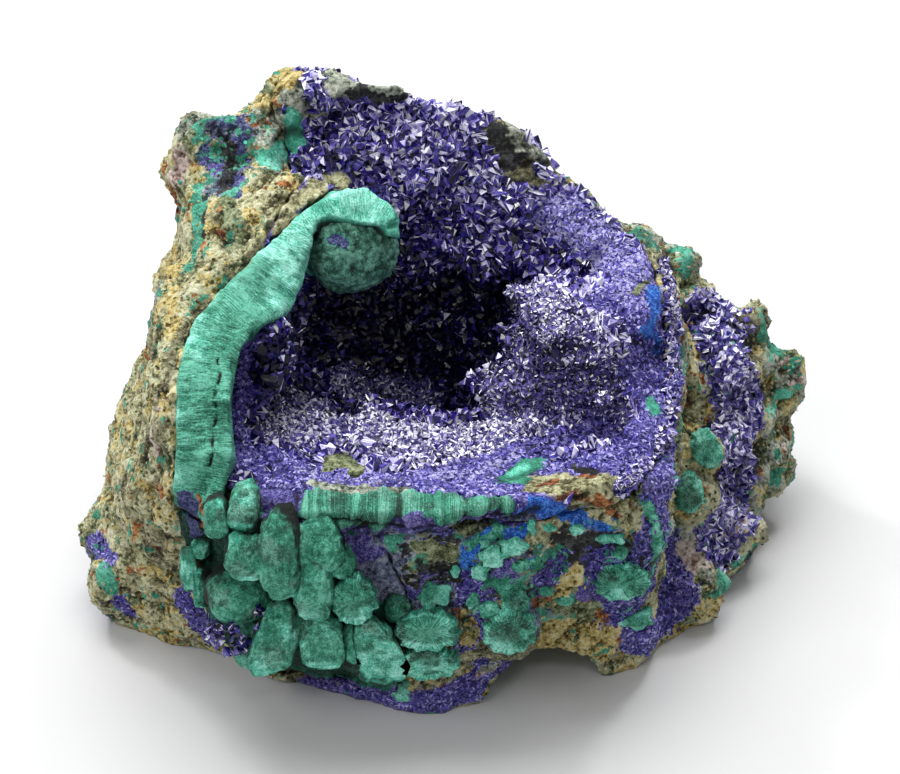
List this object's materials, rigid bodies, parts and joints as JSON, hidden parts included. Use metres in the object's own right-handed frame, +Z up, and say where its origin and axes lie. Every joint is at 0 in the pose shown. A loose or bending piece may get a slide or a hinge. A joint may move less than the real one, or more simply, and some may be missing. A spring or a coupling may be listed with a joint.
{
  "type": "azurite and malachite specimen",
  "caption": "Rough broken lump of iron-stained rock with a crystal-lined hollow, a curved fibrous malachite layer along its left rim and rounded malachite lumps on its front.",
  "frame": {"origin": "middle of the footprint, on the flat face that the stone rests on", "axes": "+Z up; -Y towards the broken front where the hollow opens; +X to the viewer's right, along the stone's longest side"},
  "size_m": [0.1108, 0.0882, 0.0647],
  "materials": {
    "host_rock": "dull, porous, iron-stained",
    "azurite_crust": "glassy crystals, matte on the rim",
    "malachite_band": "silky, fibrous",
    "malachite_front": "silky to matte"
  },
  "bodies": {
    "root": {"host_rock": "host_rock", "azurite_crust": "azurite_crust", "malachite_band": "malachite_band", "malachite_front": "malachite_front"}
  },
  "joints": []
}
